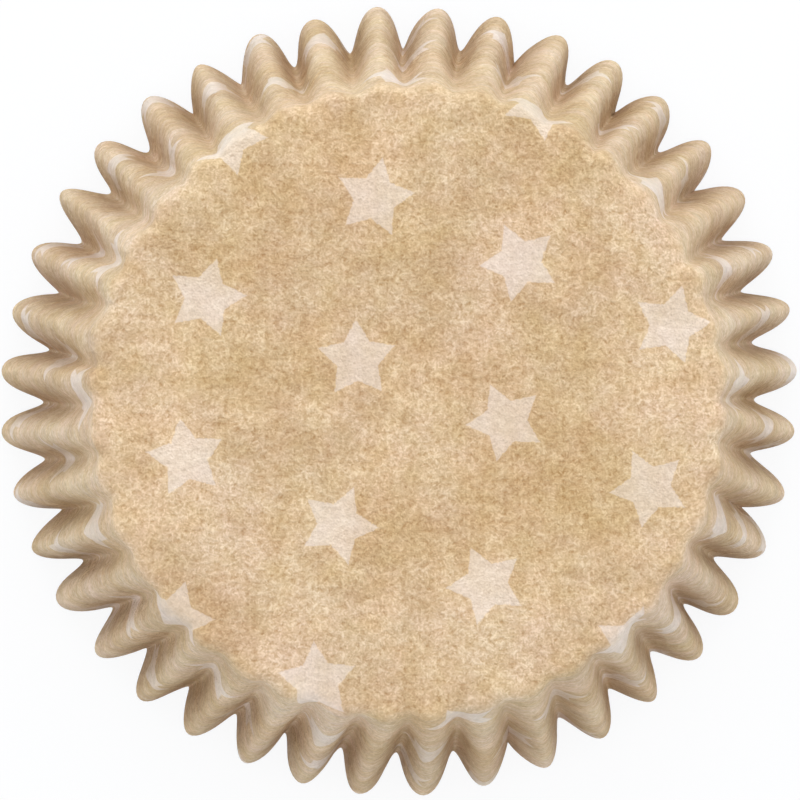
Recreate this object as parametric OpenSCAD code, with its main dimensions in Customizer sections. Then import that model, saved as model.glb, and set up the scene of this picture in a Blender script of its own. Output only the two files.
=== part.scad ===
// Pleated paper cup for baking a small cake, standing on its mouth with its flat base on top.
//
// The cup is pressed from one round sheet. The middle of the sheet stays flat as the base.
// Outside it, every circle drawn on the sheet is longer than the circle that the cup has room
// for, so the paper folds into a wave of the same length. The wave starts from nothing at the
// edge of the base and is deepest at the mouth, and wave_depth() works its depth out.

/* [Base] */
// Diameter of the flat base, inside the bend
base_d = 48.2; // [20:0.1:90]
// Radius of the bend between the base and the wall
bend_r = 1.2; // [0.4:0.1:4]

/* [Wall] */
// Diameter of the mouth, measured halfway between the crests and the roots of the pleats
mouth_d = 67; // [40:0.5:120]
// Height of the wall, measured the same way
wall_h = 33.4; // [15:0.1:60]
// Thickness of the paper
paper_t = 0.1; // [0.05:0.01:0.3]

/* [Pleats] */
// Number of pleats around the wall
pleats = 40; // [24:1:60]
// How far a crest is fuller than a root, as a share of the pleat's width: 0 is a plain wave
crest_share = 0.07; // [0:0.01:0.12]

/* [Hidden] */

paper_colour = [0.85, 0.74, 0.59];

base_r = base_d / 2;
mouth_r = mouth_d / 2;
pitch = 360 / pleats;

// In a section through the axis, the middle of the wall is a bend of bend_r, tangent to the
// base, and then a straight line, tangent to the bend, down to the mouth.
out_run = mouth_r - base_r;
down_run = wall_h - bend_r;
straight_l = sqrt(pow(out_run, 2) + pow(down_run, 2) - pow(bend_r, 2));
// Angle that the paper turns through from the base to the wall
wall_turn = atan2(down_run, out_run) + asin(bend_r / norm([out_run, down_run]));
bend_l = bend_r * wall_turn * PI / 180;
wall_l = bend_l + straight_l;

// Straight facets for each pleat, and rings of them down the bend and the wall
pleat_facets = 8;
bend_rings = 3;
wall_rings = 4;
// Above 1, this sets the wall's rings closer together near the base, where the wave grows fastest
ring_bias = 1.6;

// Width of the flat rim that the wall keeps around the base, and how far the two overlap
lip = 1;
lip_overlap = lip / 2;

// Distance along the paper from the edge of the base to each ring of the wall
ring_distances = [
    -lip,
    for (i = [0 : bend_rings]) bend_l * i / bend_rings,
    for (i = [1 : wall_rings]) bend_l + straight_l * pow(i / wall_rings, ring_bias)
];

// Slope of the wall at a distance s along the paper: 0 is flat and 90 is upright
function slope(s) = wall_turn * min(max(s / bend_l, 0), 1);

// Radius of the wall's middle, and its drop below the base, at a distance s along the paper
function mid_radius(s) =
    base_r + min(s, 0) + bend_r * sin(slope(s)) + max(s - bend_l, 0) * cos(slope(s));
function mid_drop(s) = bend_r * (1 - cos(slope(s))) + max(s - bend_l, 0) * sin(slope(s));

// A point of the pleated paper. The phase runs from 0 at a pleat's crest to 180 at its root, and
// the first crest is half a pleat round from +X. The wave stands square to the wall, and lift
// moves the point off the middle of the paper, square to its surface.
function paper_point(s, depth, pleat, phase, lift = 0) =
    let (
        radius = mid_radius(s) + depth * cos(phase) * sin(slope(s)),
        height = depth * cos(phase) * cos(slope(s)) - mid_drop(s),
        azimuth = pitch * (pleat + 1 / 2 + phase / 360 + crest_share * sin(phase)),
        // How far the wave runs around the cup, and in towards it, per radian of phase
        around = radius * pitch * PI / 180 * (1 / (2 * PI) + crest_share * cos(phase)),
        inward = depth * sin(phase),
        tilt = atan2(inward, around),
        outer = radius + lift * cos(tilt) * sin(slope(s)),
        aside = lift * sin(tilt)
    )
    [
        outer * cos(azimuth) - aside * sin(azimuth),
        outer * sin(azimuth) + aside * cos(azimuth),
        height + lift * cos(tilt) * cos(slope(s))
    ];

function phase_of(facet) = 360 * facet / pleat_facets;

// Length around half a pleat, from crest to root: of the sheet, and of a wave of a given depth
function half_sheet(s) = PI * (base_r + s) / pleats;
function half_wave(s, depth) =
    let (line = [for (f = [0 : pleat_facets / 2]) paper_point(s, depth, 0, phase_of(f))])
    chain_length(line, len(line) - 1);
function chain_length(line, last) =
    last == 0 ? 0 : norm(line[last] - line[last - 1]) + chain_length(line, last - 1);

// The depth at which the wave is as long as the sheet. A half wave can't be deeper than half
// of its paper, so the search starts between that and nothing, and halves the range each time.
function wave_depth(s) = s <= 0 ? 0 : depth_between(s, 0, half_sheet(s) / 2);
function depth_between(s, low, high, halvings = 24) =
    let (middle = (low + high) / 2)
    halvings <= 0 ? middle
    : half_wave(s, middle) < half_sheet(s) ? depth_between(s, middle, high, halvings - 1)
    : depth_between(s, low, middle, halvings - 1);

mouth_depth = wave_depth(wall_l);
// The roots of the pleats reach lowest, so the cup stands on them, at height 0
base_z = wall_h + (mouth_depth + paper_t / 2) * cos(wall_turn);

// The wall's section is one closed chain of rings: down the outer face, across the cut edge at
// the mouth, back up the inner face and across the inside of the flat rim. Each ring is given
// by its distance along the paper and its lift off the paper's middle.
ring_chain = concat(
    [for (s = ring_distances) [s, paper_t / 2]],
    [for (i = [len(ring_distances) - 1 : -1 : 0]) [ring_distances[i], -paper_t / 2]]
);
facets = pleats * pleat_facets;

// Number of a point of the wall, where the chain and the facets around it both close
function index(ring, facet) = (ring % len(ring_chain)) * facets + facet % facets;

// The round plate of the base, which ends inside the wall's flat rim
module flat_base() {
    translate([0, 0, -paper_t / 2])
        cylinder(r = base_r - lip_overlap, h = paper_t, $fn = 180);
}

module pleated_wall() {
    points = [
        for (ring = ring_chain)
            let (depth = wave_depth(ring[0]))
            for (pleat = [0 : pleats - 1], f = [0 : pleat_facets - 1])
                paper_point(ring[0], depth, pleat, phase_of(f), ring[1])
    ];
    triangles = [
        for (k = [0 : len(ring_chain) - 1], f = [0 : facets - 1])
            let (a = index(k, f), b = index(k, f + 1), c = index(k + 1, f + 1), d = index(k + 1, f))
            each [[a, b, c], [a, c, d]]
    ];
    polyhedron(points, triangles);
}

module paper_cup() {
    color(paper_colour)
        translate([0, 0, base_z])
            union() {
                flat_base();
                pleated_wall();
            }
}

paper_cup();
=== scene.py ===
"""A pleated paper baking cup, standing on its mouth with its flat base to the camera.

The cup is one round sheet of tan paper. PaperCup folds it as a press does: the middle stays
flat, and outside it each circle of the sheet becomes a wave of the same length around the cup.
Lengths are in millimetres until a mesh is made, and Blender's objects are in metres.
"""

import logging
import math
from dataclasses import dataclass, field
from enum import Enum

import bpy
import numpy as np
from mathutils import Matrix, Vector


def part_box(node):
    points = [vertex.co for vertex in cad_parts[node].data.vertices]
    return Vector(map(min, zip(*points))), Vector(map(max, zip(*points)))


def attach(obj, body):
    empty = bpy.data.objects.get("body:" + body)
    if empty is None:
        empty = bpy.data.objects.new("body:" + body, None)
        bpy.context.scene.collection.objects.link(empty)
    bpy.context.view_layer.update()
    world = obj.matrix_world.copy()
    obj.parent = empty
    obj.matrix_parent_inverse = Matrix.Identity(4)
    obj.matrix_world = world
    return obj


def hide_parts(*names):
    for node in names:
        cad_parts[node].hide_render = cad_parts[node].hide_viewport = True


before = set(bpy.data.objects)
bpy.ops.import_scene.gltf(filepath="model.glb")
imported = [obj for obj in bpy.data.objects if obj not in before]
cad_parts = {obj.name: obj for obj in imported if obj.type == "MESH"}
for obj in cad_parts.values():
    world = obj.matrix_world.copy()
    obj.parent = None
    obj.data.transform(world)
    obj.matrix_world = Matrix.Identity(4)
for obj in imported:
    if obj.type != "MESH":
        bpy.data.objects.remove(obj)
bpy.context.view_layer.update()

LOG = logging.getLogger("paper_cup")
MM = 0.001
NODE = "paper_cup"

SHEET_MAP = "sheet"
PRINT_MAP = "print"
BAKE_MAP = "OFBake"
PRESSED = "pressed"
# Mesh attribute that masks painted shade in the flanks and roots of the pleats
PAINTED_GROOVE_SHADE = "painted_groove_shade"

WHITE = (1.0, 1.0, 1.0, 1.0)
NOISE_MEAN = 0.5

# A node's input takes an output to join to it, or a fixed value
Socket = bpy.types.NodeSocket
Feed = Socket | float | tuple


class Side(Enum):
    """The two faces of the paper, by the sign of their lift off the paper's middle."""

    OUTER = 1.0
    INNER = -1.0


class Blend(Enum):
    """How one colour is laid on another."""

    MIX = "MIX"
    MULTIPLY = "MULTIPLY"


def eased(share: np.ndarray) -> np.ndarray:
    """Eases a share from 0 to 1 in and out: three times its square less twice its cube.

    Args:
        share: Shares between 0 and 1.

    Returns:
        The eased shares.
    """
    share = np.clip(share, 0.0, 1.0)
    return share * share * (3.0 - 2.0 * share)


@dataclass(frozen=True)
class WallLine:
    """The middle of the wall in a section through the cup's axis.

    It is a bend that is tangent to the flat base, and then a straight line, tangent to the
    bend, down to the mouth.
    """

    base_r: float = 24.1
    bend_r: float = 1.2
    mouth_r: float = 33.5
    wall_h: float = 33.4

    @property
    def turn(self) -> float:
        """Angle that the paper turns through from the base to the wall, in radians."""
        out, down = self.mouth_r - self.base_r, self.wall_h - self.bend_r
        return math.atan2(down, out) + math.asin(self.bend_r / math.hypot(out, down))

    @property
    def bend_l(self) -> float:
        """Length of the paper in the bend."""
        return self.bend_r * self.turn

    @property
    def length(self) -> float:
        """Length of the paper from the edge of the base to the mouth."""
        out, down = self.mouth_r - self.base_r, self.wall_h - self.bend_r
        return self.bend_l + math.sqrt(out**2 + down**2 - self.bend_r**2)

    def slope(self, s: np.ndarray) -> np.ndarray:
        """Slope of the wall at a distance s along the paper: it grows evenly over the bend.

        Args:
            s: Distances from the edge of the base, below 0 on the base itself.

        Returns:
            Angles in radians, 0 where the paper is flat.
        """
        return self.turn * np.clip(s / self.bend_l, 0.0, 1.0)

    def place(self, s: np.ndarray) -> tuple[np.ndarray, np.ndarray]:
        """Follows the base, then an arc of bend_r, then a straight line.

        Args:
            s: Distances from the edge of the base.

        Returns:
            The radius, and the drop below the base, at each distance.
        """
        turned, straight = self.slope(s), np.maximum(s - self.bend_l, 0.0)
        radius = self.base_r + np.minimum(s, 0.0) + self.bend_r * np.sin(turned)
        drop = self.bend_r * (1.0 - np.cos(turned))
        return radius + straight * np.cos(turned), drop + straight * np.sin(turned)


@dataclass(frozen=True)
class Pleats:
    """The wave that the paper folds into, one crest and one root for each pleat.

    Fullness is a share of a pleat's width, and fullness_reach is in millimetres.
    """

    count: int = 40
    mouth_fullness: float = 0.058
    base_fullness: float = 0.03
    fullness_reach: float = 5.0
    waist_fullness: float = -0.02
    search_steps: int = 30
    half_points: int = 40

    @property
    def pitch(self) -> float:
        """Width of a pleat around the cup, in radians."""
        return 2.0 * math.pi / self.count

    def fullness(self, line: WallLine, s: np.ndarray) -> np.ndarray:
        """How far a crest is fuller than a root, as a share of the pleat's width.

        The share goes over from base_fullness at the edge of the base to mouth_fullness over
        fullness_reach. Half-way down, waist_fullness is added to it, as a parabola.

        Args:
            line: The wall's middle line.
            s: Distances from the edge of the base.

        Returns:
            The share at each distance.
        """
        near = np.exp(-np.maximum(s, 0.0) / self.fullness_reach)
        down = np.clip(s / line.length, 0.0, 1.0)
        # Four times a share times what is left of it is a parabola that is 1 half-way
        waist = self.waist_fullness * 4.0 * down * (1.0 - down)
        return self.mouth_fullness + (self.base_fullness - self.mouth_fullness) * near + waist

    def depth(self, line: WallLine, s: np.ndarray) -> np.ndarray:
        """Solves the depth at which the wave is as long as the sheet's own circle.

        The half wave from crest to root is a chain of chords, longer as the depth grows, so
        the depth is found by halving a range for all the rings at once.

        Args:
            line: The wall's middle line.
            s: Distances from the edge of the base.

        Returns:
            The depth at each distance, 0 on the base.
        """
        phase = np.linspace(0.0, math.pi, self.half_points)[None, :]
        radius, _ = line.place(s)
        slope, wanted = line.slope(s), math.pi * (line.base_r + s) / self.count
        full = self.fullness(line, s)[:, None]
        azimuth = self.pitch * (phase / (2.0 * math.pi) + full * np.sin(phase))
        low, high = np.zeros_like(s), wanted / 2.0
        for _ in range(self.search_steps):
            middle = (low + high) / 2.0
            out = middle[:, None] * np.cos(phase)
            r = radius[:, None] + out * np.sin(slope)[:, None]
            z = out * np.cos(slope)[:, None]
            chain = np.stack([r * np.cos(azimuth), r * np.sin(azimuth), z])
            length = np.linalg.norm(np.diff(chain, axis=2), axis=0).sum(axis=1)
            low = np.where(length < wanted, middle, low)
            high = np.where(length < wanted, high, middle)
        return np.where(s > 0.0, (low + high) / 2.0, 0.0)


@dataclass(frozen=True)
class Handling:
    """How far the cup strays from a perfect one, after pressing, packing and handling.

    Angles are in degrees, counter-clockwise from +X. Spreads are standard deviations. Places,
    the twist and fullness are shares of a pleat's width, depths are shares of the wave's own
    depth, and the oval, the lobes, the scallop and the crumple are in millimetres, with
    scallop_spread a share of the scallop. Most strays grow from nothing at the base, and are
    whole where the way down times growth is 1.
    """

    first_crest: float = 3.99
    root_lean: float = 0.035
    twist: float = 0.13
    crowding_once: float = 0.31
    crowding_once_at: float = 146.0
    crowding_twice: float = 0.61
    crowding_twice_at: float = -18.5
    oval: float = 0.24
    oval_at: float = 23.0
    three_lobes: float = 0.185
    three_lobes_at: float = 44.7
    place_spread: float = 0.026
    dart_spread: float = 0.05
    crest_spread: float = 0.02
    root_spread: float = 0.09
    root_extra: float = 0.08
    fullness_spread: float = 0.02
    scallop: float = 0.24
    scallop_spread: float = 0.6
    scallop_reach: float = 1.8
    # How much of the painted shade in the grooves lies in the flanks rather than at the roots
    groove_shade_flank_share: float = 0.68
    crumple: float = 0.06
    crumple_waves: int = 36
    shortest_wave: float = 4.0
    longest_wave: float = 15.0
    growth: float = 1.6
    crowding_at_base: float = 0.4
    seed: int = 11

    def edge_shift(self, s: np.ndarray) -> np.ndarray:
        """How far the base's edge moves out at a crest and in at a root, fading off both ways.

        Args:
            s: Distances from the edge of the base.

        Returns:
            The shift at each distance, in millimetres.
        """
        return self.scallop * np.exp(-np.abs(s) / self.scallop_reach)

    @staticmethod
    def per_fold(
        rng: np.random.Generator, count: int, crests: float, roots: float
    ) -> np.ndarray:
        """Draws one number for each crest and each root in turn around the cup.

        Args:
            rng: The seeded source of numbers.
            count: Number of pleats.
            crests: Spread at the crests.
            roots: Spread at the roots.

        Returns:
            Twice as many numbers as there are pleats.
        """
        return rng.normal(size=2 * count) * np.tile([crests, roots], count)

    @staticmethod
    def between(values: np.ndarray, folds: np.ndarray) -> np.ndarray:
        """Eases from each crest's value to the next root's and on around the cup.

        Args:
            values: One value for each crest and root.
            folds: Places around the cup, counted in crests and roots.

        Returns:
            The value at each place.
        """
        before = np.floor(folds).astype(int) % len(values)
        after = (before + 1) % len(values)
        share = eased(folds - np.floor(folds))
        return values[before] + (values[after] - values[before]) * share

    def crumpled(self, x: np.ndarray, y: np.ndarray) -> np.ndarray:
        """A slight unevenness of the sheet: a sum of plane waves of seeded directions.

        Args:
            x: Places on the flat sheet.
            y: Places on the flat sheet.

        Returns:
            The height of the paper off its even surface, with a spread of crumple.
        """
        rng = np.random.default_rng(self.seed + 1)
        total = np.zeros_like(x)
        for _ in range(self.crumple_waves):
            number = 2.0 * math.pi / rng.uniform(self.shortest_wave, self.longest_wave)
            heading, start = rng.uniform(0.0, 2.0 * math.pi, 2)
            along = x * math.cos(heading) + y * math.sin(heading)
            total += np.cos(number * along + start)
        return total * self.crumple / math.sqrt(self.crumple_waves / 2.0)


@dataclass(frozen=True)
class StarPrint:
    """A loose print of five-pointed stars, in even rows, each turned its own way.

    Places are in millimetres on the flat sheet, from its centre. The listed table holds, for each
    star on the base by its step along the row and its row, its turn in degrees and its stray from
    the even rows. The other stars' turns and strays are drawn from the seed.
    """

    first: tuple[float, float] = (-4.16, 3.34)
    along_row: tuple[float, float] = (11.75, -5.02)
    next_row: tuple[float, float] = (-1.48, -12.82)
    tip_r: float = 3.24
    seed: int = 5
    hand_set: dict[tuple[int, int], tuple[float, float, float]] = field(
        default_factory=lambda: {
            (0, -1): (7.0, 0.06, 0.16),
            (1, -1): (-31.0, -0.14, 0.05),
            (2, -1): (2.0, 0.18, 0.10),
            (-1, 0): (3.0, -0.12, 0.0),
            (0, 0): (20.0, 0.13, 0.12),
            (1, 0): (-31.0, 0.21, 0.16),
            (2, 0): (-29.0, -0.08, -0.09),
            (-1, 1): (28.0, -0.22, 0.08),
            (0, 1): (-4.0, 0.13, -0.26),
            (1, 1): (-31.0, 0.15, 0.0),
        }
    )
    stray: float = 0.15
    most_turn: float = 36.0
    reach: int = 12

    def local(
        self, x: np.ndarray, y: np.ndarray, face_x: np.ndarray, face_y: np.ndarray
    ) -> np.ndarray:
        """Places each corner in the frame of the star nearest to its face.

        The offset from the star's centre is turned back by the star's own turn and divided by
        the radius of its tips, so every star reads the same on the map.

        Args:
            x: Places of the faces' corners on the flat sheet.
            y: The same.
            face_x: Places of the faces themselves, one for each corner.
            face_y: The same.

        Returns:
            Two numbers for each corner.
        """
        basis = np.array([self.along_row, self.next_row]).T
        aside = np.stack([face_x - self.first[0], face_y - self.first[1]])
        steps = np.linalg.solve(basis, aside)
        near = np.rint(steps).astype(int)
        centre = basis @ near + np.array(self.first)[:, None]
        rng = np.random.default_rng(self.seed)
        size = 2 * self.reach + 1
        turn = rng.uniform(-self.most_turn, self.most_turn, (size, size))
        stray = rng.normal(0.0, self.stray, (2, size, size))
        for (step, row), (degrees, right, up) in self.hand_set.items():
            turn[step + self.reach, row + self.reach] = degrees
            stray[:, step + self.reach, row + self.reach] = right, up
        near = np.clip(near, -self.reach, self.reach) + self.reach
        back = np.radians(turn[near[0], near[1]])
        centre = centre + stray[:, near[0], near[1]]
        dx, dy = (x - centre[0]) / self.tip_r, (y - centre[1]) / self.tip_r
        along = dx * np.cos(back) + dy * np.sin(back)
        across = dy * np.cos(back) - dx * np.sin(back)
        return np.stack([along, across], axis=1)


@dataclass(frozen=True)
class Folded:
    """The folded sheet as whole grids, ring by ring from the centre of the base to the mouth.

    pressed is 0 on the base and 1 on the wall, and the mask of painted shade is most in the
    flanks of the pleats.
    """

    middle: np.ndarray
    normal: np.ndarray
    flat: np.ndarray
    pressed: np.ndarray
    painted_groove_shade: np.ndarray


class NodeGraph:
    """Adds nodes to a material or a node group, and joins them."""

    def __init__(self, tree: bpy.types.NodeTree) -> None:
        """Keeps the tree that the nodes go into."""
        self.tree = tree

    def node(
        self, kind: str, inputs: dict[str | int, Feed] | None = None, **settings: object
    ) -> bpy.types.Node:
        """Makes one node.

        Args:
            kind: The node's type, such as ShaderNodeMath.
            inputs: A value, or the socket to join, for each input by its name or number.
            **settings: The node's own settings.

        Returns:
            The new node.
        """
        made = self.tree.nodes.new(kind)
        for name, value in settings.items():
            setattr(made, name, value)
        for key, value in (inputs or {}).items():
            if isinstance(value, Socket):
                self.tree.links.new(value, made.inputs[key])
            else:
                made.inputs[key].default_value = value
        return made

    def math(self, operation: str, *values: Feed) -> Socket:
        """Makes a Math node from its operation and its inputs, and returns its output."""
        return self.node("ShaderNodeMath", dict(enumerate(values)), operation=operation).outputs[0]

    def ramp(
        self, value: Socket, low: float, high: float, to_low: float = 0.0, to_high: float = 1.0
    ) -> Socket:
        """Maps low..high smoothly to to_low..to_high, and returns the output."""
        inputs = {0: value, 1: low, 2: high, 3: to_low, 4: to_high}
        return self.node("ShaderNodeMapRange", inputs, interpolation_type="SMOOTHSTEP").outputs[0]

    def blend(self, share: Feed, under: Feed, over: Feed, kind: Blend = Blend.MIX) -> Socket:
        """Lays a colour over another by a share, and returns the output."""
        inputs = {0: share, 6: under, 7: over}
        settings = {"data_type": "RGBA", "blend_type": kind.value}
        return self.node("ShaderNodeMix", inputs, **settings).outputs[2]

    def vector(self, operation: str, *values: Feed) -> Socket:
        """Makes a Vector Math node from its operation and inputs, and returns its vector."""
        inputs = dict(enumerate(values))
        return self.node("ShaderNodeVectorMath", inputs, operation=operation).outputs[0]

    def join(self, value: Socket, node: bpy.types.Node, name: str) -> None:
        """Joins an output to a node's input of that name."""
        self.tree.links.new(value, node.inputs[name])


def socket_group(
    name: str, inputs: dict[str, str], outputs: dict[str, str]
) -> bpy.types.ShaderNodeTree:
    """Makes an empty shader node group.

    Args:
        name: The group's name.
        inputs: Each input's name and type.
        outputs: Each output's name and type.

    Returns:
        The group.
    """
    group = bpy.data.node_groups.new(name, "ShaderNodeTree")
    for label, kind in inputs.items():
        group.interface.new_socket(label, in_out="INPUT", socket_type=f"NodeSocket{kind}")
    for label, kind in outputs.items():
        group.interface.new_socket(label, in_out="OUTPUT", socket_type=f"NodeSocket{kind}")
    return group


@dataclass(frozen=True)
class PaperFibres:
    """The paper's felt: grain, short pale and dark fibres in cells of their own, and clouds.

    Scales are per millimetre. A fibre's length, width and curve are shares of its cell: it is
    whole up to whole_length from its middle, and ends at half_length. Each layer of fibres is
    moved aside by layer_step more than the one before.
    """

    pale_cells: tuple[float, ...] = (1.1, 1.4, 1.75, 2.2)
    dark_cells: tuple[float, ...] = (1.35, 1.9)
    half_length: float = 0.42
    half_width: float = 0.2
    whole_length: float = 0.21
    curve: float = 1.2
    faintest: float = 0.3
    scatter: float = 0.85
    pale_at: float = 13.0
    dark_at: float = 71.0
    layer_step: tuple[float, float] = (17.3, -9.1)
    pale_share: float = 0.48
    dark_share: float = 0.3
    grain_scale: float = 1.5
    grain_detail: float = 2.0
    grain_share: float = 1.5
    even: float = 0.49
    cloud_scale: float = 0.09
    cloud_detail: float = 3.0
    crease_scale: float = 0.8
    crease_detail: float = 1.0
    base_creases: float = 0.6
    wall_creases: float = 3.8
    wall_calm: float = 0.35
    calm_felt: float = 0.58
    slow_scale: float = 0.045
    slow_detail: float = 1.0
    slow_share: float = 0.22
    cloud_place: tuple[float, float, float] = (-316.3, 257.4, 0.0)

    def group(self) -> bpy.types.ShaderNodeTree:
        """Builds the group that both faces of the paper share.

        The palest and the darkest fibre of several layers lie on a ground of grain. Three slow
        noises give the clouds, one for how pale they are and two for their hue. Where the paper
        was pressed, the felt is drawn some way to one tone. The relief is that of the grain on
        fine creases, which are deeper where the paper was pressed.

        Returns:
            A group from a place on the sheet, and how far it is pressed, to the masks of the
            felt, the clouds and their two hues, and the relief.
        """
        outputs = dict.fromkeys(("Felt", "Cloud", "Warmth", "Tint", "Relief"), "Float")
        tree = socket_group("paper_fibres", {"Place": "Vector", "Pressed": "Float"}, outputs)
        g = NodeGraph(tree)
        source = g.node("NodeGroupInput").outputs
        place = source["Place"]
        out = g.node("NodeGroupOutput")
        grain = self._noise(g, place, self.grain_scale, self.grain_detail)[0]
        grain = g.math("SUBTRACT", grain, NOISE_MEAN)
        ground = g.math("MULTIPLY_ADD", grain, self.grain_share, self.even)
        pale = self._layers(g, place, self.pale_cells, self.pale_at)
        felt = g.math("MULTIPLY_ADD", pale, self.pale_share, ground)
        dark = self._layers(g, place, self.dark_cells, self.dark_at)
        felt = g.math("MULTIPLY_ADD", dark, -self.dark_share, felt)
        moved = g.vector("ADD", place, self.cloud_place)
        fine = self._noise(g, moved, self.cloud_scale, self.cloud_detail)[1]
        slow = self._noise(g, moved, self.slow_scale, self.slow_detail)[1]
        slow = g.vector("SUBTRACT", slow, (NOISE_MEAN,) * 3)
        both = g.vector("MULTIPLY_ADD", slow, (self.slow_share,) * 3, fine)
        cloud = g.node("ShaderNodeSeparateXYZ", {0: both})
        crease = self._noise(g, place, self.crease_scale, self.crease_detail)[0]
        calm = g.math("MULTIPLY", source["Pressed"], self.wall_calm)
        calmed = g.math("MULTIPLY_ADD", g.math("SUBTRACT", self.calm_felt, felt), calm, felt)
        g.join(calmed, out, "Felt")
        more = self.wall_creases - self.base_creases
        creases = g.math("MULTIPLY_ADD", source["Pressed"], more, self.base_creases)
        g.join(g.math("MULTIPLY_ADD", crease, creases, ground), out, "Relief")
        for name, mask in zip(("Cloud", "Warmth", "Tint"), cloud.outputs):
            g.join(mask, out, name)
        return tree

    def _layers(self, g: NodeGraph, place: Socket, cells: tuple, shift: float) -> Socket:
        """The strongest fibre of some layers, one layer for each size of cell."""
        total = None
        for number, size in enumerate(cells):
            aside = (*(shift + step * number for step in self.layer_step), 0.0)
            layer = self._strands(g, place, size, aside)
            total = layer if total is None else g.math("MAXIMUM", total, layer)
        return total

    def _strands(self, g: NodeGraph, place: Socket, cells: float, aside: tuple) -> Socket:
        """One short curved fibre in each cell, with its own turn, curve and strength.

        In the fibre's frame, its middle line is a parabola, and the mask falls off smoothly
        across it and at its ends.
        """
        moved = g.vector("ADD", place, aside)
        inputs = {"Vector": moved, "Scale": cells, "Randomness": self.scatter}
        cell = g.node("ShaderNodeTexVoronoi", inputs, voronoi_dimensions="2D").outputs
        offset = g.vector("SUBTRACT", moved, cell["Position"])
        chance = g.node("ShaderNodeSeparateColor", {0: cell["Color"]}).outputs
        turn = {"Vector": offset, "Angle": g.math("MULTIPLY", chance[0], 2.0 * math.pi)}
        turned = g.node("ShaderNodeVectorRotate", turn, rotation_type="Z_AXIS").outputs[0]
        split = g.node("ShaderNodeSeparateXYZ", {0: turned}).outputs
        along, across = g.math("MULTIPLY", split[0], cells), g.math("MULTIPLY", split[1], cells)
        curve = g.math("MULTIPLY", g.math("SUBTRACT", chance[1], NOISE_MEAN), self.curve)
        bowed = g.math("MULTIPLY_ADD", g.math("MULTIPLY", along, along), curve, across)
        body = g.ramp(g.math("ABSOLUTE", bowed), self.half_width, 0.0)
        ends = g.ramp(g.math("ABSOLUTE", along), self.half_length, self.whole_length)
        strength = g.math("MULTIPLY_ADD", chance[2], 1.0 - self.faintest, self.faintest)
        return g.math("MULTIPLY", g.math("MULTIPLY", body, ends), strength)

    @staticmethod
    def _noise(
        g: NodeGraph, place: Socket, scale: float, detail: float
    ) -> bpy.types.NodeOutputs:
        """A noise whose octaves are equally strong: its value, and a colour of three values."""
        inputs = {"Vector": place, "Scale": scale, "Detail": detail, "Roughness": 1.0}
        return g.node("ShaderNodeTexNoise", inputs).outputs


@dataclass(frozen=True)
class StarInk:
    """The pale ink of the stars, drawn as one star. Its tips have a radius of 1."""

    inner_share: float = 0.53
    edge: float = 0.018
    wobble: float = 0.05
    even_felt: float = 0.5
    points: int = 5

    def group(self) -> bpy.types.ShaderNodeTree:
        """Builds the group that draws a star.

        The angle from a tip is folded into half a point of the star, and what lies inside the
        straight line from the tip to the notch beside it is inked. Fibres move that line a
        little.

        Returns:
            A group from a star's own coordinates and the fibres to the ink's mask.
        """
        tree = socket_group("star_ink", {"Place": "Vector", "Felt": "Float"}, {"Ink": "Float"})
        g = NodeGraph(tree)
        source = g.node("NodeGroupInput")
        out = g.node("NodeGroupOutput")
        split = g.node("ShaderNodeSeparateXYZ", {0: source.outputs["Place"]})
        x, y = split.outputs[0], split.outputs[1]
        half_point = math.pi / self.points
        angle = g.math("PINGPONG", g.math("ARCTAN2", y, x), half_point)
        radius = g.math("SQRT", g.math("MULTIPLY_ADD", x, x, g.math("MULTIPLY", y, y)))
        notch_x = self.inner_share * math.cos(half_point)
        notch_y = self.inner_share * math.sin(half_point)
        side = math.hypot(1.0 - notch_x, notch_y)
        folded_x = g.math("MULTIPLY", radius, g.math("COSINE", angle))
        folded_y = g.math("MULTIPLY", radius, g.math("SINE", angle))
        across = g.math("MULTIPLY", folded_x, notch_y / side)
        up = g.math("MULTIPLY", folded_y, (1.0 - notch_x) / side)
        beyond = g.math("SUBTRACT", g.math("ADD", across, up), notch_y / side)
        uneven = g.math("SUBTRACT", source.outputs["Felt"], self.even_felt)
        moved = g.math("MULTIPLY_ADD", uneven, self.wobble, beyond)
        g.join(g.ramp(moved, self.edge, -self.edge), out, "Ink")
        return tree


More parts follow.
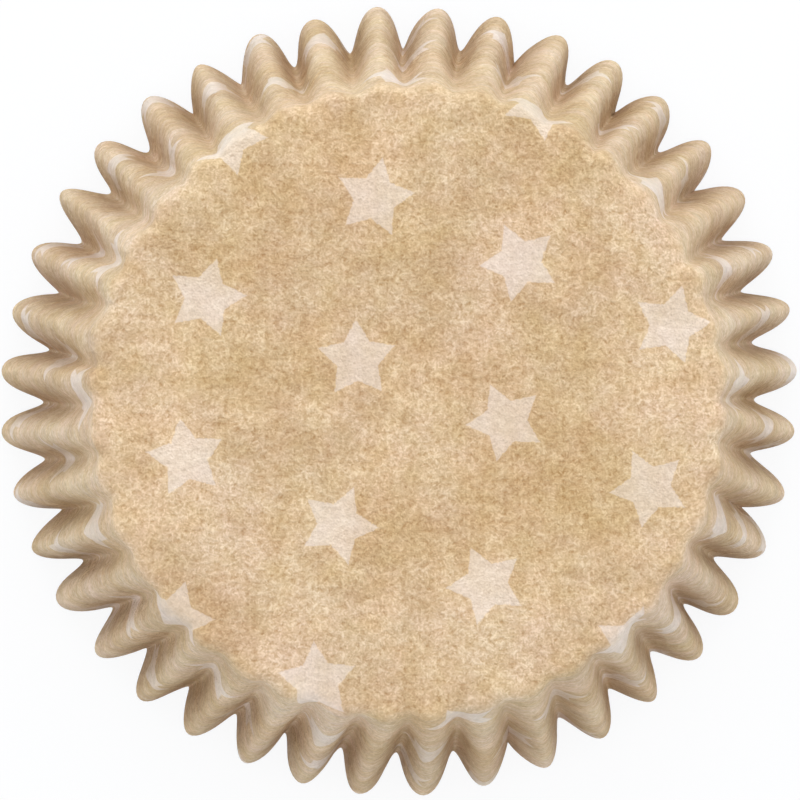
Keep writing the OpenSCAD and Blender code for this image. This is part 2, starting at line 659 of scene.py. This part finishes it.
@dataclass(frozen=True)
class PaperFinish:
    """Tan baking paper with pale fibres, and the ink of the stars where it is printed.

    Tones are linear. Those of the clouds and of the painted shade in the pleats' grooves
    multiply the paper's own. The relief is in metres.
    """

    name: str = "printed_tan_paper"
    deep: tuple = (0.488, 0.276, 0.118, 1.0)
    pale: tuple = (0.824, 0.581, 0.342, 1.0)
    ink_deep: tuple = (0.700, 0.517, 0.361, 1.0)
    ink_pale: tuple = (0.880, 0.679, 0.498, 1.0)
    cloud_deep: tuple = (0.875, 0.83, 0.74, 1.0)
    cloud_pale: tuple = (1.125, 1.17, 1.26, 1.0)
    warm: tuple = (1.02, 1.012, 0.958, 1.0)
    cool: tuple = (0.98, 0.988, 1.042, 1.0)
    green: tuple = (0.989, 1.013, 0.989, 1.0)
    rose: tuple = (1.011, 0.987, 1.011, 1.0)
    cloud_reach: float = 0.19
    # Painted shade for the flanks and roots of the pleats, multiplied onto the paper's colour
    painted_groove_shade_tone: tuple = (0.69, 0.625, 0.54, 1.0)
    cover: float = 0.92
    ink_evens: float = 0.5
    roughness: float = 0.65
    roughness_spread: float = 0.06
    specular: float = 0.1
    sheen: float = 0.04
    relief: float = 0.00012

    def material(
        self, fibres: bpy.types.ShaderNodeTree, star: bpy.types.ShaderNodeTree
    ) -> bpy.types.Material:
        """Builds the material.

        The felt mixes the paper from its two tones, and the ink from its own. The clouds multiply
        that, less so on the ink, and so does a painted shade in the pleats' flanks and roots.

        Args:
            fibres: The group of the paper's fibres.
            star: The group that draws a star.

        Returns:
            The finished material.
        """
        made = bpy.data.materials.new(self.name)
        made.use_nodes = True
        g = NodeGraph(made.node_tree)
        shader = made.node_tree.nodes["Principled BSDF"]
        shader.inputs["Specular IOR Level"].default_value = self.specular
        shader.inputs["Sheen Weight"].default_value = self.sheen
        felt = g.node("ShaderNodeGroup", node_tree=fibres)
        g.join(g.node("ShaderNodeUVMap", uv_map=SHEET_MAP).outputs[0], felt, "Place")
        pressed = g.node("ShaderNodeAttribute", attribute_name=PRESSED)
        g.join(pressed.outputs["Fac"], felt, "Pressed")
        drawn = g.node("ShaderNodeGroup", node_tree=star)
        g.join(g.node("ShaderNodeUVMap", uv_map=PRINT_MAP).outputs[0], drawn, "Place")
        g.join(felt.outputs["Felt"], drawn, "Felt")
        inked = g.math("MULTIPLY", drawn.outputs["Ink"], self.cover)
        paper = g.blend(felt.outputs["Felt"], self.deep, self.pale)
        ink = g.blend(felt.outputs["Felt"], self.ink_deep, self.ink_pale)
        colour = g.blend(inked, paper, ink)
        bare = g.math("MULTIPLY_ADD", drawn.outputs["Ink"], -self.ink_evens, 1.0)
        clouds = {
            "Cloud": (self.cloud_deep, self.cloud_pale),
            "Warmth": (self.warm, self.cool),
            "Tint": (self.green, self.rose),
        }
        for mask, (low, high) in clouds.items():
            ends = (NOISE_MEAN - self.cloud_reach, NOISE_MEAN + self.cloud_reach)
            share = g.ramp(felt.outputs[mask], *ends)
            colour = g.blend(bare, colour, g.blend(share, low, high), Blend.MULTIPLY)
        # Painted shade: the colour is darkened by the mask in the flanks and roots of the pleats
        painted_groove_shade = g.node("ShaderNodeAttribute", attribute_name=PAINTED_GROOVE_SHADE).outputs["Fac"]
        shade = g.blend(painted_groove_shade, WHITE, self.painted_groove_shade_tone)
        g.join(g.blend(1.0, colour, shade, Blend.MULTIPLY), shader, "Base Color")
        ends = (self.roughness + self.roughness_spread, self.roughness - self.roughness_spread)
        g.join(g.ramp(felt.outputs["Felt"], 0.0, 1.0, *ends), shader, "Roughness")
        inputs = {"Height": felt.outputs["Relief"], "Distance": self.relief, "Strength": 1.0}
        g.join(g.node("ShaderNodeBump", inputs).outputs[0], shader, "Normal")
        return made


@dataclass
class PaperCup:
    """The cup: one folded sheet with its thickness, its maps and its finish.

    A bias above 1 sets rings closer together near the bend. off_print is a place outside any
    star, and inner_aside is how many radii of the sheet the inner face's felt is moved aside.
    On the layout map, the room for a disc is layout_gap times as wide as the disc, and the
    ring of the cut edge reaches to layout_cut times its radius.
    """

    line: WallLine = field(default_factory=WallLine)
    pleats: Pleats = field(default_factory=Pleats)
    handling: Handling = field(default_factory=Handling)
    stars: StarPrint = field(default_factory=StarPrint)
    paper_t: float = 0.1
    pleat_points: int = 24
    base_rings: int = 12
    base_bias: float = 1.8
    bend_rings: int = 7
    wall_rings: int = 28
    ring_bias: float = 1.3
    off_print: float = 9.0
    inner_aside: float = 4.0
    layout_gap: float = 1.03
    layout_cut: float = 1.02

    @property
    def around(self) -> int:
        """Number of points in each ring."""
        return self.pleats.count * self.pleat_points

    def ring_distances(self) -> np.ndarray:
        """Distance of each ring from the edge of the base, along the paper.

        Rings are evenly spaced in the bend, and closer together near it than at the centre of
        the base and at the mouth, by a power of their number.

        Returns:
            One distance for each ring, below 0 on the base.
        """
        left = 1.0 - np.arange(1, self.base_rings) / self.base_rings
        on_base = -self.line.base_r * left**self.base_bias
        in_bend = self.line.bend_l * np.arange(self.bend_rings + 1) / self.bend_rings
        steps = np.arange(1, self.wall_rings + 1) / self.wall_rings
        on_wall = self.line.bend_l + (self.line.length - self.line.bend_l) * steps**self.ring_bias
        return np.concatenate([on_base, in_bend, on_wall])

    def fold(self) -> Folded:
        """Folds the sheet.

        A point at distance s and phase p lies off the wall's middle line by the wave's depth
        times the cosine of p, square to the wall. It goes round by its pleat, by p, and by the
        crest's fullness times the sine of p. The base ends a little further out at the crests
        than at the roots. Each crest and root strays a little in place and depth, the wall is a
        little twisted, and the whole mouth is a little out of round.

        Returns:
            The paper's middle surface, its normals and its places on the flat sheet, with how
            far each point is pressed and how much painted shade it gets in a flank or root.
        """
        s = self.ring_distances()
        rng = np.random.default_rng(self.handling.seed)
        count, h = self.pleats.count, self.handling
        place = h.per_fold(rng, count, h.place_spread, h.place_spread)
        place = place + np.tile([0.0, h.root_lean], count)
        dart = h.per_fold(rng, count, h.dart_spread, h.dart_spread)
        deeper = h.per_fold(rng, count, h.crest_spread, h.root_spread)
        deeper = deeper + np.tile([0.0, h.root_extra], count)
        fuller = h.per_fold(rng, count, h.fullness_spread, h.fullness_spread)
        edged = 1.0 + h.per_fold(rng, count, h.scallop_spread, h.scallop_spread)
        step = np.arange(self.around)
        pleat = step // self.pleat_points
        phase = 2.0 * math.pi * (step % self.pleat_points) / self.pleat_points
        folds = 2.0 * step / self.pleat_points

        down = np.clip(s / self.line.length, 0.0, 1.0)[:, None]
        grown = eased(down * h.growth)
        share = self.pleats.fullness(self.line, s)[:, None]
        share = share + h.between(fuller, folds)[None, :] * grown
        stray = h.between(place, folds)[None, :] * grown
        stray = stray + h.between(dart, folds)[None, :] * (1.0 - grown)
        turned = pleat + phase / (2.0 * math.pi) + share * np.sin(phase) + stray
        azimuth = self.pleats.pitch * turned
        azimuth = azimuth + math.radians(h.first_crest) + self.pleats.pitch * h.twist * (1.0 - down)
        once = azimuth - math.radians(h.crowding_once_at)
        twice = azimuth - math.radians(h.crowding_twice_at)
        crowded = math.radians(h.crowding_once) * np.cos(once)
        crowded += math.radians(h.crowding_twice) * np.cos(2.0 * twice)
        azimuth = azimuth + crowded * (h.crowding_at_base + (1.0 - h.crowding_at_base) * down)

        shift = h.edge_shift(s)[:, None] * (np.cos(phase) * h.between(edged, folds))[None, :]
        radius, drop = self.line.place(s[:, None] - shift)
        slope = self.line.slope(s[:, None] - shift)
        depth = self.pleats.depth(self.line, s)[:, None]
        depth = depth * (1.0 + h.between(deeper, folds)[None, :] * grown)
        out = depth * np.cos(phase)[None, :]
        r = radius + shift + out * np.sin(slope)
        z = out * np.cos(slope) - drop
        r = r + h.oval * down * np.cos(2.0 * (azimuth - math.radians(h.oval_at)))
        r = r + h.three_lobes * down * np.cos(3.0 * (azimuth - math.radians(h.three_lobes_at)))
        middle = np.stack([r * np.cos(azimuth), r * np.sin(azimuth), z], axis=2)

        flat = self.unfold(middle, s, azimuth)
        normal = self.normals(middle)
        crumple = h.crumpled(flat[..., 0], flat[..., 1])
        middle = middle + normal * crumple[..., None]
        pressed = np.repeat(eased(s / self.line.bend_l)[:, None], self.around, axis=1)
        # A mask of painted shade in the grooves: most in the flanks, less at the roots, none on the
        # crests
        rooted = (1.0 - np.cos(phase)) / 2.0
        groove_shade_weight = h.groove_shade_flank_share * np.sin(phase) ** 2 + (1.0 - h.groove_shade_flank_share) * rooted
        return Folded(middle, self.normals(middle), flat, pressed, grown * groove_shade_weight[None, :])

    def unfold(self, middle: np.ndarray, s: np.ndarray, azimuth: np.ndarray) -> np.ndarray:
        """Places each point on the flat sheet, so that print and fibres don't stretch.

        The angle on the sheet is the length walked along the folded ring, as a share of the
        whole ring. The radius is that of the base plus s.

        Args:
            middle: The folded rings.
            s: Distance of each ring from the edge of the base.
            azimuth: Azimuth of each point, to which the walk is fitted on average.

        Returns:
            Two numbers for each point.
        """
        steps = np.linalg.norm(np.roll(middle, -1, axis=1) - middle, axis=2)
        walked = np.cumsum(steps, axis=1) - steps
        angle = 2.0 * math.pi * walked / steps.sum(axis=1, keepdims=True)
        angle = angle + (azimuth - angle).mean(axis=1, keepdims=True)
        radius = (self.line.base_r + s)[:, None]
        return np.stack([radius * np.cos(angle), radius * np.sin(angle)], axis=2)

    @staticmethod
    def normals(rings: np.ndarray) -> np.ndarray:
        """Normals of a grid: the cross product of its slopes across and along the rings.

        Args:
            rings: The grid's points.

        Returns:
            Unit vectors that point out of the cup.
        """
        along = np.roll(rings, -1, axis=1) - np.roll(rings, 1, axis=1)
        across = np.gradient(rings, axis=0)
        normal = np.cross(across, along)
        return normal / np.linalg.norm(normal, axis=2, keepdims=True)

    def mesh(self, sheet: Folded) -> bpy.types.Mesh:
        """Makes the closed mesh: the outer skin, the inner skin and the cut edge between them.

        Args:
            sheet: The folded sheet.

        Returns:
            The mesh, in metres, with its three maps and its two point attributes.
        """
        rings, around = sheet.middle.shape[:2]
        skins, grids = [], []
        for side in Side:
            lift = side.value * self.paper_t / 2.0
            grid = sheet.middle + sheet.normal * lift
            pole = np.array([[0.0, 0.0, grid[0, :, 2].mean()]])
            skins.append(np.concatenate([pole, grid.reshape(-1, 3)]))
        points = self.fitted(np.concatenate(skins))
        skin = rings * around + 1
        for start in (0, skin):
            grids.append(start + 1 + np.arange(rings * around).reshape(rings, around))
        outer, inner = grids
        faces = self.skin_faces(0, outer, False) + self.skin_faces(skin, inner, True)
        cut = len(faces)
        rims = outer[-1], inner[-1], np.roll(inner[-1], -1), np.roll(outer[-1], -1)
        faces += np.stack(rims, axis=1).tolist()
        made = bpy.data.meshes.new("paper_cup_mesh")
        made.from_pydata((points * MM).tolist(), [], faces)
        self.map_sheet(made, sheet, skin, cut)
        made.polygons.foreach_set("use_smooth", np.ones(len(faces), bool))
        self.sharpen(made, np.concatenate([outer[-1], inner[-1]]))
        # The second attribute is the mask of painted shade in the flanks and roots
        for name, grid in ((PRESSED, sheet.pressed), (PAINTED_GROOVE_SHADE, sheet.painted_groove_shade)):
            values = np.tile(np.concatenate([[0.0], grid.ravel()]), 2)
            made.attributes.new(name, "FLOAT", "POINT").data.foreach_set("value", values)
        made.update()
        return made

    @staticmethod
    def fitted(points: np.ndarray) -> np.ndarray:
        """Sets the cup in the model's box: centred, as high as the box, and no wider than it.

        Args:
            points: The cup's points.

        Returns:
            The points in their place.
        """
        low, high = (np.array(corner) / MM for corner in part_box(NODE))
        least, most = points.min(axis=0), points.max(axis=0)
        scale = (high - low) / (most - least)
        scale[:2] = min(1.0, scale[:2].min())
        return (points - (least + most) / 2.0) * scale + (low + high) / 2.0

    @staticmethod
    def skin_faces(pole: int, grid: np.ndarray, flipped: bool) -> list[list[int]]:
        """Faces of one skin: a fan at the pole, and four-sided faces between the rings.

        Args:
            pole: Number of the vertex at the centre of the base.
            grid: Numbers of the ring's vertices.
            flipped: True for the inner skin, which faces the other way.

        Returns:
            The vertices of each face, counter-clockwise as seen from outside.
        """
        after = np.roll(grid, -1, axis=1)
        fan = np.stack([np.full(grid.shape[1], pole), grid[0], after[0]], axis=1)
        band = np.stack([grid[:-1], grid[1:], after[1:], after[:-1]], axis=2).reshape(-1, 4)
        if flipped:
            fan, band = fan[:, ::-1], band[:, ::-1]
        return fan.tolist() + band.tolist()

    def map_sheet(self, mesh: bpy.types.Mesh, sheet: Folded, skin: int, cut: int) -> None:
        """Gives the mesh its maps: the sheet's own places, the stars' places and the layout.

        The inner face's places on the sheet are moved aside by a few sheets, so that the two
        faces differ, and it has no print. The layout puts the two faces in two corners of the
        map as round discs, with the cut edge as a ring around the outer one.

        Args:
            mesh: The mesh.
            sheet: The folded sheet.
            skin: Number of vertices in each skin.
            cut: Number of the first face of the cut edge.
        """
        flat = np.concatenate([np.zeros((1, 2)), sheet.flat.reshape(-1, 2)])
        corners = np.empty(len(mesh.loops), np.int32)
        mesh.loops.foreach_get("vertex_index", corners)
        first = np.empty(len(mesh.polygons), np.int32)
        mesh.polygons.foreach_get("loop_start", first)
        total = np.empty(len(mesh.polygons), np.int32)
        mesh.polygons.foreach_get("loop_total", total)
        face = np.repeat(np.arange(len(first)), total)
        place = np.tile(flat, (2, 1))[corners]
        inside, on_cut = corners >= skin, face >= cut
        centre = np.add.reduceat(place, first, axis=0) / total[:, None]

        sheet_r = self.line.base_r + self.line.length
        own = place + np.where(inside & ~on_cut, self.inner_aside * sheet_r, 0.0)[:, None]
        stars = self.stars.local(place[:, 0], place[:, 1], centre[face, 0], centre[face, 1])
        stars[inside | on_cut] = self.off_print
        # The two largest equal discs that stand side by side on a square's diagonal
        reach = 1.0 / (2.0 + math.sqrt(2.0))
        middle = np.where((inside & ~on_cut)[:, None], 1.0 - reach, reach)
        laid = np.where((inside & on_cut)[:, None], place * self.layout_cut, place)
        laid = middle + laid * reach / (sheet_r * self.layout_gap)
        for name, values in ((SHEET_MAP, own), (PRINT_MAP, stars), (BAKE_MAP, laid)):
            layer = mesh.uv_layers.new(name=name)
            layer.uv.foreach_set("vector", values.astype(np.float32).ravel())

    @staticmethod
    def sharpen(mesh: bpy.types.Mesh, rim: np.ndarray) -> None:
        """Marks the edges of the cut rim sharp, so that the thin edge isn't shaded round.

        Args:
            mesh: The mesh.
            rim: Numbers of the vertices on the rim.
        """
        ends = np.empty(len(mesh.edges) * 2, np.int32)
        mesh.edges.foreach_get("vertices", ends)
        sharp = np.isin(ends.reshape(-1, 2), rim).all(axis=1)
        mesh.attributes.new("sharp_edge", "BOOLEAN", "EDGE").data.foreach_set("value", sharp)

    def build(self) -> bpy.types.Object:
        """Makes the cup's object, at the origin, and hangs it on the frame."""
        cup = bpy.data.objects.new("pleated_paper_cup", self.mesh(self.fold()))
        bpy.context.scene.collection.objects.link(cup)
        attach(cup, "root")
        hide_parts(NODE)
        return cup

    def dress(self, cup: bpy.types.Object) -> None:
        """Gives the cup its printed paper."""
        fibres, star = PaperFibres().group(), StarInk().group()
        cup.data.materials.append(PaperFinish().material(fibres, star))


@dataclass(frozen=True)
class Studio:
    """A plain pale floor, soft light from the top of the picture, and the camera above.

    The two scales are how many pixels of the picture a millimetre takes up at the base and at
    the mouth, and they place the camera. camera_aside and aim are in millimetres, and the
    lamp, the floor and the clip are in metres, as Blender's objects are.
    """

    base_px_per_mm: float = 12.64
    mouth_px_per_mm: float = 11.262
    picture_px: float = 800.0
    sensor_mm: float = 36.0
    clip: tuple[float, float] = (0.01, 20.0)
    camera_aside: tuple[float, float] = (-4.98, 2.16)
    aim: tuple[float, float] = (0.024, 0.121)
    sky: float = 0.70
    sky_slope: float = 0.27
    low_fall: float = 4.0
    low_sky: float = 4.05
    low_colour: tuple = (0.82, 1.125, 1.6, 1.0)
    sky_side: tuple[float, float, float] = (0.1, 0.995, 0.0)
    key_place: tuple[float, float, float] = (-0.08, 0.65, 0.62)
    key_size: float = 0.7
    key_watts: float = 1.5
    floor_size: float = 4.0
    floor_tone: float = 0.04
    floor_seen: float = 0.1

    def build_camera(self) -> None:
        """Puts the camera above the base, at the distance that its scale in the picture gives."""
        base_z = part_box(NODE)[1].z
        away = base_z * self.mouth_px_per_mm / (self.base_px_per_mm - self.mouth_px_per_mm)
        data = bpy.data.cameras.new("camera")
        data.sensor_width = self.sensor_mm
        data.lens = away / MM * self.base_px_per_mm / self.picture_px * self.sensor_mm
        data.clip_start, data.clip_end = self.clip
        camera = bpy.data.objects.new("camera", data)
        camera.location = (self.camera_aside[0] * MM, self.camera_aside[1] * MM, base_z + away)
        back = (camera.location - Vector((self.aim[0] * MM, self.aim[1] * MM, 0.0))).normalized()
        right = Vector((0.0, 1.0, 0.0)).cross(back).normalized()
        camera.rotation_euler = Matrix((right, back.cross(right), back)).transposed().to_euler()
        bpy.context.scene.collection.objects.link(camera)
        bpy.context.scene.camera = camera

    def build_lamp(self, name: str, place: tuple, size: float, watts: float) -> None:
        """Adds a square soft lamp that faces the cup.

        Args:
            name: The lamp's name.
            place: Its place in metres.
            size: Its side in metres.
            watts: Its power.
        """
        data = bpy.data.lights.new(name, "AREA")
        data.shape, data.size, data.energy = "SQUARE", size, watts
        lamp = bpy.data.objects.new(name, data)
        lamp.location = place
        lamp.rotation_euler = (-Vector(place)).to_track_quat("-Z", "Y").to_euler()
        bpy.context.scene.collection.objects.link(lamp)

    @staticmethod
    def seen(g: NodeGraph) -> Socket:
        """A mask that is 1 for what the camera, gloss or clear matter sees, and 0 for light."""
        path = g.node("ShaderNodeLightPath").outputs
        seen = g.math("MAXIMUM", path["Is Camera Ray"], path["Is Glossy Ray"])
        return g.math("MAXIMUM", seen, path["Is Transmission Ray"])

    def build_world(self) -> None:
        """Builds a soft sky, white to the camera and in gloss.

        Its light is an even part and a low part. The low part falls off from the horizon as a
        power of how level the direction is, and has a colour of its own. Both grow evenly
        toward sky_side.
        """
        world = bpy.data.worlds.new("sky")
        world.use_nodes = True
        bpy.context.scene.world = world
        g = NodeGraph(world.node_tree)
        direction = g.node("ShaderNodeTexCoord").outputs["Generated"]
        sides = {0: direction, 1: self.sky_side}
        toward = g.node("ShaderNodeVectorMath", sides, operation="DOT_PRODUCT").outputs["Value"]
        height = g.node("ShaderNodeSeparateXYZ", {0: direction}).outputs[2]
        level = g.math("SUBTRACT", 1.0, g.math("ABSOLUTE", height))
        low = g.math("POWER", level, self.low_fall)
        even = g.math("MULTIPLY_ADD", low, self.low_sky, self.sky)
        sided = g.math("MULTIPLY_ADD", toward, self.sky_slope, 1.0)
        soft = g.math("MULTIPLY", even, sided)
        strength = g.node("ShaderNodeMix", {0: self.seen(g), 2: soft, 3: 1.0}).outputs[0]
        low_share = g.math("DIVIDE", g.math("SUBTRACT", even, self.sky), even)
        tinted = g.blend(low_share, WHITE, self.low_colour)
        background = world.node_tree.nodes["Background"]
        g.join(g.blend(self.seen(g), tinted, WHITE), background, "Color")
        g.join(strength, background, "Strength")

    def build_floor(self) -> None:
        """Builds a floor that looks white to the camera and in gloss, and keeps the shadow."""
        half = self.floor_size / 2.0
        signs = ((-1, -1), (1, -1), (1, 1), (-1, 1))
        corners = [(x * half, y * half, 0.0) for x, y in signs]
        mesh = bpy.data.meshes.new("floor_mesh")
        mesh.from_pydata(corners, [], [(0, 1, 2, 3)])
        floor = bpy.data.objects.new("floor", mesh)
        bpy.context.scene.collection.objects.link(floor)
        made = bpy.data.materials.new("white_floor")
        made.use_nodes = True
        g = NodeGraph(made.node_tree)
        made.node_tree.nodes.remove(made.node_tree.nodes["Principled BSDF"])
        out = made.node_tree.nodes["Material Output"]
        plain = g.node("ShaderNodeBsdfDiffuse", {"Color": (*[self.floor_tone] * 3, 1.0)}).outputs[0]
        faint = g.node("ShaderNodeBsdfDiffuse", {"Color": (*[self.floor_seen] * 3, 1.0)}).outputs[0]
        glow = g.node("ShaderNodeEmission", {"Strength": 1.0 - self.floor_seen}).outputs[0]
        lifted = g.node("ShaderNodeAddShader", {0: faint, 1: glow}).outputs[0]
        mixed = g.node("ShaderNodeMixShader", {0: self.seen(g), 1: plain, 2: lifted}).outputs[0]
        g.join(mixed, out, "Surface")
        mesh.materials.append(made)

    def build(self) -> None:
        """Builds the camera, the light and the floor, and sets the view transform."""
        self.build_camera()
        self.build_world()
        self.build_lamp("key", self.key_place, self.key_size, self.key_watts)
        self.build_floor()
        bpy.context.scene.view_settings.view_transform = "Standard"


def main() -> None:
    """Builds the studio and the cup, and reports each."""
    logging.basicConfig(level=logging.INFO, format="%(name)s: %(message)s")
    Studio().build()
    LOG.info("studio: camera, sky, one lamp and a floor")
    design = PaperCup()
    cup = design.build()
    design.dress(cup)
    LOG.info("%s: %d vertices, %d faces", cup.name, len(cup.data.vertices), len(cup.data.polygons))


if __name__ == "__main__":
    main()
